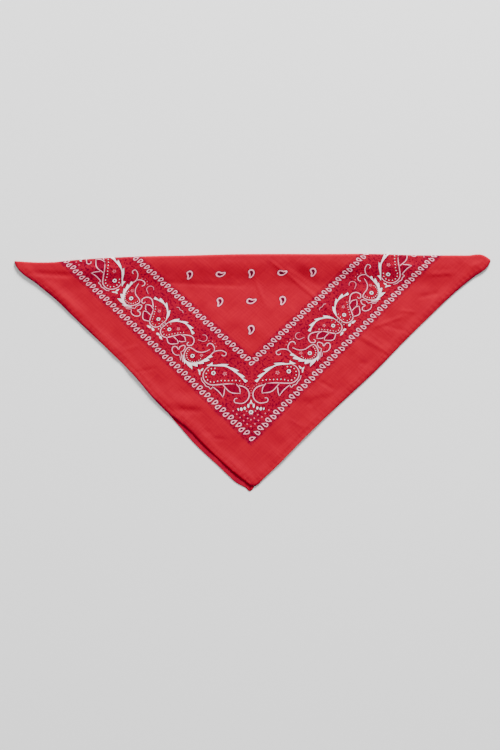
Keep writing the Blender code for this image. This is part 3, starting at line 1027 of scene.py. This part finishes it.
class Value:
    """A socket that can be used in sums."""

    def __init__(self, paint, socket):
        self.paint = paint
        self.socket = socket

    def __add__(self, other):
        return self.paint.maths("ADD", self, other)

    __radd__ = __add__

    def __sub__(self, other):
        return self.paint.maths("SUBTRACT", self, other)

    def __rsub__(self, other):
        return self.paint.maths("SUBTRACT", other, self)

    def __mul__(self, other):
        return self.paint.maths("MULTIPLY", self, other)

    __rmul__ = __mul__

    def least(self, other):
        return self.paint.maths("MINIMUM", self, other)

    def most(self, other):
        return self.paint.maths("MAXIMUM", self, other)

    def equals(self, other):
        return self.paint.maths("COMPARE", self, other, 0.1)

    def ease(self, low, high):
        node = self.paint.node("ShaderNodeMapRange", {"interpolation_type": "SMOOTHSTEP"},
                               Value=self, From_Min=low, From_Max=high)
        return Value(self.paint, node.outputs["Result"])


class Paint:
    """The nodes of one finish."""

    def __init__(self, name):
        self.material = bpy.data.materials.new(name)
        self.material.use_nodes = True
        self.tree = self.material.node_tree
        self.tree.nodes.clear()
        self.shader = self.node("ShaderNodeBsdfPrincipled")
        out = self.node("ShaderNodeOutputMaterial")
        self.tree.links.new(self.shader.outputs["BSDF"], out.inputs["Surface"])

    def node(self, kind, settings=None, **sockets):
        """A node of a kind, with its settings first and then its sockets' values or links."""
        node = self.tree.nodes.new(kind)
        for key, value in (settings or {}).items():
            setattr(node, key, value)
        for key, value in sockets.items():
            self.plug(node, int(key[1:]) if key[1:].isdigit() else key.replace("_", " "), value)
        return node

    def plug(self, node, key, value):
        socket = node.inputs[key]
        if isinstance(value, Value):
            value = value.socket
        if isinstance(value, bpy.types.NodeSocket):
            self.tree.links.new(value, socket)
        else:
            socket.default_value = value

    def maths(self, operation, *values):
        node = self.node("ShaderNodeMath", {"operation": operation})
        for k, value in enumerate(values):
            self.plug(node, k, value)
        return Value(self, node.outputs[0])

    def attribute(self, name):
        node = self.node("ShaderNodeAttribute", {"attribute_name": name})
        return Value(self, node.outputs["Fac"])

    def map(self, name):
        return self.node("ShaderNodeUVMap", {"uv_map": name}).outputs["UV"]

    def parts(self, vector):
        node = self.node("ShaderNodeSeparateXYZ", Vector=vector)
        return Value(self, node.outputs["X"]), Value(self, node.outputs["Y"])

    def noise(self, vector, scale, detail, roughness=0.5):
        node = self.node("ShaderNodeTexNoise", Vector=vector, Scale=scale, Detail=detail,
                         Roughness=roughness)
        return Value(self, node.outputs["Fac"])

    def threads(self, vector, lengthways, sideways, detail):
        """The mean of streaks that run along one direction of the weave and along the other."""
        streaks = []
        for scale in ((lengthways, sideways, 1.0), (sideways, lengthways, 1.0)):
            node = self.node("ShaderNodeMapping", Vector=vector, Scale=scale)
            streaks.append(self.noise(node.outputs["Vector"], 1.0, detail))
        return (streaks[0] + streaks[1]) * 0.5

    def mix(self, share, one, other):
        """Two colours, each as numbers or a socket, mixed by a share."""
        node = self.node("ShaderNodeMix", {"data_type": "RGBA"})
        self.plug(node, 0, share)
        self.plug(node, 6, one)
        self.plug(node, 7, other)
        return node.outputs[2]

    def set(self, key, value):
        self.plug(self.shader, key, value)

    def bump(self, *layers):
        """Bumps on each other, each with its height, strength and reach in millimetres."""
        normal = None
        for height, strength, reach in layers:
            node = self.node("ShaderNodeBump", Height=height, Strength=strength, Distance=reach * MM)
            if normal is not None:
                self.plug(node, "Normal", normal)
            normal = node.outputs["Normal"]
        self.set("Normal", normal)


FIELD_RED = (0.40, 0.0002, 0.017, 1.0)
DEEP_RED = (0.25, 0.0002, 0.021, 1.0)
BRIGHT_RED = (0.45, 0.0004, 0.016, 1.0)
# a dark red for speckles, slubs and the leaves' shaded fill, and for painted shade along the hemmed
# edges
SPECKLE_AND_SHADE = (0.10, 0.0002, 0.015, 1.0)
KEYLINE = (0.075, 0.0002, 0.014, 1.0)
OFF_WHITE = (0.98, 0.80, 0.84, 1.0)
ROSE_WHITE = (0.97, 0.35, 0.44, 1.0)
PALE_PINK = (0.72, 0.16, 0.22, 1.0)
WRONG_SIDE = (0.36, 0.003, 0.020, 1.0)


# How often the threads and their thick places change along and across the cloth, in each metre,
# and the levels of detail
FINE_THREADS = (60.0, 1900.0, 1.0)
SLUBS = (30.0, 420.0, 2.0)
# Where the deeper ground starts and ends, from the edge of the square, and its dark corners
SQUARE = SIDE * MM
BAND_START = (0.040, 0.044)
BAND_END = (0.138, 0.143)
DARK_CORNER = (0.150, 0.185)


def printed_cotton():
    paint = Paint("printed_cotton")
    flat = paint.map("cloth")
    a, b = paint.parts(flat)
    from_a, from_b = a.least(SQUARE - a), b.least(SQUARE - b)
    edge = from_a.least(from_b)
    threads = paint.threads(flat, *FINE_THREADS)
    slubs = paint.threads(flat, *SLUBS)
    cloudy = paint.noise(flat, 22.0, 3.0)
    grainy = paint.noise(flat, 300.0, 2.0, 0.6)

    # ground: plain red in the field and the margin, deeper between the chains, with speckles
    in_band = edge.ease(*BAND_START) * (1 - edge.ease(*BAND_END))
    blotches = paint.noise(flat, 75.0, 2.0).ease(0.40, 0.60)
    corner = (1 - (from_a + from_b).ease(*DARK_CORNER)) * (0.45 + 0.5 * blotches)
    deep = in_band * (0.25 + 0.30 * cloudy.ease(0.35, 0.65)).most(corner)
    ground = paint.mix(cloudy.ease(0.3, 0.7) * 0.35, FIELD_RED, BRIGHT_RED)
    ground = paint.mix(deep, ground, DEEP_RED)
    ground = paint.mix(grainy.ease(0.50, 0.62) * in_band * 0.8, ground, SPECKLE_AND_SHADE)

    ink = paint.attribute("ink")
    ground = paint.mix(ink.equals(SHADE) * 0.5, ground, SPECKLE_AND_SHADE)
    colour = paint.mix(ink.equals(DARK) * 0.92, ground, KEYLINE)
    colour = paint.mix(ink.equals(WHITE), colour, OFF_WHITE)
    colour = paint.mix(ink.equals(LINE), colour, ROSE_WHITE)
    colour = paint.mix(ink.equals(PALE), colour, PALE_PINK)
    # painted shade along the rounded hemmed edge, deeper in places
    colour = paint.mix(paint.attribute("edge_shade"), colour, SPECKLE_AND_SHADE)
    colour = paint.mix(paint.attribute("wrong_side"), colour, WRONG_SIDE)
    colour = paint.mix(slubs.ease(0.35, 0.65) * 0.16, colour, SPECKLE_AND_SHADE)
    paint.set("Base Color", colour)
    paint.set("Roughness", 0.78 + 0.16 * threads)
    paint.set("Specular IOR Level", 0.05)
    paint.bump((slubs, 0.35, 1.0), (threads, 0.5, 0.25))
    return paint.material


def hem_cotton():
    paint = Paint("hem_cotton")
    flat = paint.map("cloth")
    threads = paint.threads(flat, *FINE_THREADS)
    cloudy = paint.noise(flat, 60.0, 3.0).ease(0.3, 0.7)
    paint.set("Base Color", paint.mix(0.3 + cloudy * 0.6, FIELD_RED, DEEP_RED))
    paint.set("Roughness", 0.80 + 0.14 * threads)
    paint.set("Specular IOR Level", 0.05)
    paint.bump((threads, 0.5, 0.25))
    return paint.material


def sewing_thread():
    paint = Paint("sewing_thread")
    place = paint.node("ShaderNodeTexCoord").outputs["Object"]
    twist = paint.noise(place, 2600.0, 1.0)
    paint.set("Base Color", paint.mix(twist.ease(0.3, 0.7), DEEP_RED, FIELD_RED))
    paint.set("Roughness", 0.7)
    paint.set("Specular IOR Level", 0.3)
    paint.bump((twist, 0.4, 0.1))
    return paint.material


COTTON = printed_cotton()
HEM_COTTON = hem_cotton()
THREAD = sewing_thread()

# ---- the two halves

RIM_STEP = 3.0
EDGE_READINGS = 600


def even(points):
    """The same line with its points as far apart as a rim's."""
    length = np.linalg.norm(np.diff(points, axis=0), axis=1).sum()
    return spread(points, int(round(length / RIM_STEP)) + 1)


def front_outline():
    """The top half on the flat square: its two lower edges and the seam under the roll."""
    share = np.linspace(0, 1, EDGE_READINGS)
    sides = []
    for edge in (FRONT_LEFT, FRONT_RIGHT):
        side = edge_points(edge, share)
        side[:, 1] -= fold_line(side[:, 0])[1] * share
        sides.append(even(unlaid(side)))
    return np.vstack([sides[0][:-1][::-1], sides[1][1:-1], SEAM[::-1]])


def back_outline():
    """The half beneath on the flat square: the seam, and two cut edges."""
    corner = np.array([SIDE, SIDE])
    left = even(np.array([SEAM[0], corner]))
    right = even(np.array([corner, SEAM[-1]]))
    return np.vstack([SEAM[::-1], left[1:-1], right[:-1]])


front_cloth = make_half("front_cloth", front_outline(), lay_front, True, 11)
back_cloth = make_half("back_cloth", back_outline(), lay_back, False, 23)

# ---- hems

HEM_STEPS = 190
HEM_SECTION = [                     # across the hem, and up, as shares of its width and thickness
    (0.00, 0.5), (0.02, 0.82), (0.07, 1.0), (0.35, 1.0), (0.65, 1.0), (0.93, 1.0), (0.98, 0.82),
    (1.00, 0.5), (0.98, 0.18), (0.93, 0.0), (0.5, 0.0), (0.07, 0.0), (0.02, 0.18),
]
HEM_TURN = 20.0                     # the underside's threads start this far on from the top's


def tube_faces(size, stations, first=0):
    """Faces of a closed tube: rings of a size from station to station, and its two ends."""
    faces = []
    for k in range(stations - 1):
        for j in range(size):
            a = first + k * size + j
            b = first + k * size + (j + 1) % size
            faces.append((a, b, b + size, a + size))
    last = first + (stations - 1) * size
    return faces + [tuple(range(first, first + size))[::-1], tuple(range(last, last + size))]


def make_hem(name, edge, width, height, shift=None):
    """A turned edge: a flat band with soft sides, along an edge from its mitre to the tip."""
    read = edge_reader(edge, shift)
    verts, uvs = [], []
    length = length_of(edge) - HEM_END - MITRE_GAP
    for k in range(HEM_STEPS + 1):
        reach = MITRE_GAP + length * k / HEM_STEPS
        for out, up in HEM_SECTION:
            inset = HEM_INSET + (width - HEM_INSET) * out
            here = reach + inset * max(0.0, 1 - (reach - MITRE_GAP) / HEM_START)
            x, y = read(here, inset)
            verts.append((x * MM, y * MM, (height(x, y) + up * HEM_CLOTH) * MM))
            uvs.append((reach * MM, (inset + (HEM_TURN if up < 0.5 else 0)) * MM))
    data = bpy.data.meshes.new(name)
    data.from_pydata(verts, [], tube_faces(len(HEM_SECTION), HEM_STEPS + 1))
    layer = data.uv_layers.new(name="cloth")
    for loop in data.loops:
        layer.data[loop.index].uv = uvs[loop.vertex_index]
    hem = make_object(name, data, HEM_COTTON)
    bpy.ops.object.select_all(action="DESELECT")
    bpy.context.view_layer.objects.active = hem
    hem.select_set(True)
    bpy.ops.object.mode_set(mode="EDIT")
    bpy.ops.mesh.select_all(action="SELECT")
    bpy.ops.mesh.normals_make_consistent(inside=False)
    bpy.ops.object.mode_set(mode="OBJECT")
    hem.select_set(False)
    return hem


def edge_reader(edge, shift=None):
    """Gives the place at a reach along an edge and an inset from it."""
    length = length_of(edge)
    inwards = -outwards(edge)

    def read(reach, inset):
        share = reach / length
        place = edge_points(edge, [share])[0]
        if shift is not None:
            place = place - np.array([0.0, shift(place[0]) * share])
        return place + inwards * inset

    return read


def roll_radius(x):
    return float(fold_line(np.array([x]))[1][0])


def under_front(x, y):
    """Height of the band that lies just under the top half."""
    place = np.array([[x, y]])
    fold, radius = fold_line(place[:, 0])
    return float(top_height(place, fold, radius)[0]) - CLOTH - TOP_AIR - HEM_CLOTH


def on_back(x, y):
    """Height of the band that lies on the half beneath."""
    return CLOTH + AIR


front_hems = [
    make_hem("front_hem_left", FRONT_LEFT, HEM_WIDTH, under_front, roll_radius),
    make_hem("front_hem_right", FRONT_RIGHT, HEM_WIDTH, under_front, roll_radius),
]
back_hems = [
    make_hem("back_hem_left", BACK_LEFT, BACK_HEM_WIDTH, on_back),
    make_hem("back_hem_right", BACK_RIGHT, BACK_HEM_WIDTH, on_back),
]

# ---- stitches

STITCH_PITCH = 2.9
STITCH_LENGTH = 2.1
STITCH_RADIUS = 0.24
STITCH_FLAT = 0.7                   # the thread is pressed flat to this share of its width
STITCH_SIDES = 5
STITCH_STATIONS = [(-0.5, 0.35), (-0.32, 1.0), (0.32, 1.0), (0.5, 0.35)]
FRONT_STITCH_END = 10.0             # the seam of the top half stops this far from the tip
FRONT_STITCH_LIFT = 0.05            # how far a stitch's middle lies above the cloth
BACK_STITCH_LIFT = 0.02
READ_ALONG = 1.0                    # the cloth's slope is read this far to each side
READ_ACROSS = 0.6


def make_stitches(name, stitches):
    """Short capsules of thread, one for each point, direction and upward normal."""
    section = [(math.cos(t), math.sin(t)) for t in np.arange(STITCH_SIDES) * math.tau / STITCH_SIDES]
    verts, faces = [], []
    for point, run, up in stitches:
        beside = np.cross(up, run)
        faces += tube_faces(STITCH_SIDES, len(STITCH_STATIONS), len(verts))
        for reach, size in STITCH_STATIONS:
            middle = point + run * reach * STITCH_LENGTH
            for u, v in section:
                out = (beside * u + up * v * STITCH_FLAT) * size * STITCH_RADIUS
                verts.append(tuple((middle + out) * MM))
    data = bpy.data.meshes.new(name)
    data.from_pydata(verts, [], faces)
    return make_object(name, data, THREAD)


def front_stitches():
    """The thread on the top half, which follows the dips and puckers of its border."""
    inset = STITCH_INSET
    for edge in (FRONT_LEFT, FRONT_RIGHT):
        read = edge_reader(edge, roll_radius)
        for reach in np.arange(inset, length_of(edge) - FRONT_STITCH_END, STITCH_PITCH):
            ends = np.array([read(reach - READ_ALONG, inset), read(reach + READ_ALONG, inset),
                             read(reach, inset - READ_ACROSS), read(reach, inset + READ_ACROSS)])
            fold, radius = fold_line(ends[:, 0])
            spots = np.column_stack([ends, top_height(ends, fold, radius)])
            run = spots[1] - spots[0]
            up = np.cross(run, spots[3] - spots[2])
            up *= np.sign(up[2]) / np.linalg.norm(up)
            yield spots.mean(0) + up * FRONT_STITCH_LIFT, run / np.linalg.norm(run), up


def back_stitches():
    """The thread on the upper side of the back hems."""
    height = CLOTH + AIR + HEM_CLOTH + BACK_STITCH_LIFT
    for edge in (BACK_LEFT, BACK_RIGHT):
        read = edge_reader(edge)
        for reach in np.arange(BACK_STITCH_INSET, length_of(edge) - HEM_END, STITCH_PITCH):
            start = read(reach - READ_ALONG, BACK_STITCH_INSET)
            end = read(reach + READ_ALONG, BACK_STITCH_INSET)
            run = np.append(end - start, 0.0)
            middle = np.append((start + end) / 2, height)
            yield middle, run / np.linalg.norm(run), np.array([0.0, 0.0, 1.0])


front_thread = make_stitches("front_thread", front_stitches())
back_thread = make_stitches("back_thread", back_stitches())

# ---- what rides on what

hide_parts("front_half")
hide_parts("back_half")
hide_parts("hem_front_left")
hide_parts("hem_front_right")
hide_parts("hem_back_left")
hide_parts("hem_back_right")
for piece in [front_cloth, back_cloth, front_thread, back_thread] + front_hems + back_hems:
    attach(piece, "root")

# ---- floor, lights, camera

FLOOR = (0.93, 0.93, 0.93, 1.0)
WHITE_LIGHT = (1.0, 1.0, 1.0, 1.0)
SKY_STRENGTH = 0.45
SENSOR = 36.0
FLOOR_SIZE = 80.0
FLOOR_Z = -0.0004                   # clear of the small ripples of the underside
bpy.ops.mesh.primitive_plane_add(size=FLOOR_SIZE, location=(0, 0, FLOOR_Z))
floor = bpy.context.object
floor.name = "floor"
floor_paint = Paint("pale_floor")
floor_paint.set("Base Color", FLOOR)
floor_paint.set("Roughness", 0.9)
floor.data.materials.append(floor_paint.material)

Lamp = namedtuple("Lamp", "name place size watts")
LAMPS = [
    Lamp("key", (1.55, 5.4, 2.35), 1.7, 1330.0),
    Lamp("fill", (-0.4, -0.6, 3.0), 2.4, 14.0),
]
for lamp in LAMPS:
    light = bpy.data.lights.new(lamp.name, "AREA")
    light.shape = "SQUARE"
    light.size = lamp.size
    light.energy = lamp.watts
    holder = bpy.data.objects.new(lamp.name, light)
    holder.location = lamp.place
    holder.rotation_euler = (-Vector(lamp.place)).to_track_quat("-Z", "Y").to_euler()
    bpy.context.scene.collection.objects.link(holder)

world = bpy.data.worlds.new("studio")
world.use_nodes = True
sky = world.node_tree.nodes["Background"]
sky.inputs["Color"].default_value = WHITE_LIGHT
sky.inputs["Strength"].default_value = SKY_STRENGTH
bpy.context.scene.world = world

CAMERA_HEIGHT = 2.2
VIEW_DEPTH = 1.215                  # what the frame's tall side covers on the floor
VIEW_MIDDLE = (-0.00405, -0.0039)
camera_data = bpy.data.cameras.new("camera")
camera_data.sensor_fit = "VERTICAL"
camera_data.sensor_height = SENSOR
camera_data.lens = SENSOR * CAMERA_HEIGHT / VIEW_DEPTH
camera = bpy.data.objects.new("camera", camera_data)
camera.location = (VIEW_MIDDLE[0], VIEW_MIDDLE[1], CAMERA_HEIGHT)
bpy.context.scene.collection.objects.link(camera)
bpy.context.scene.camera = camera
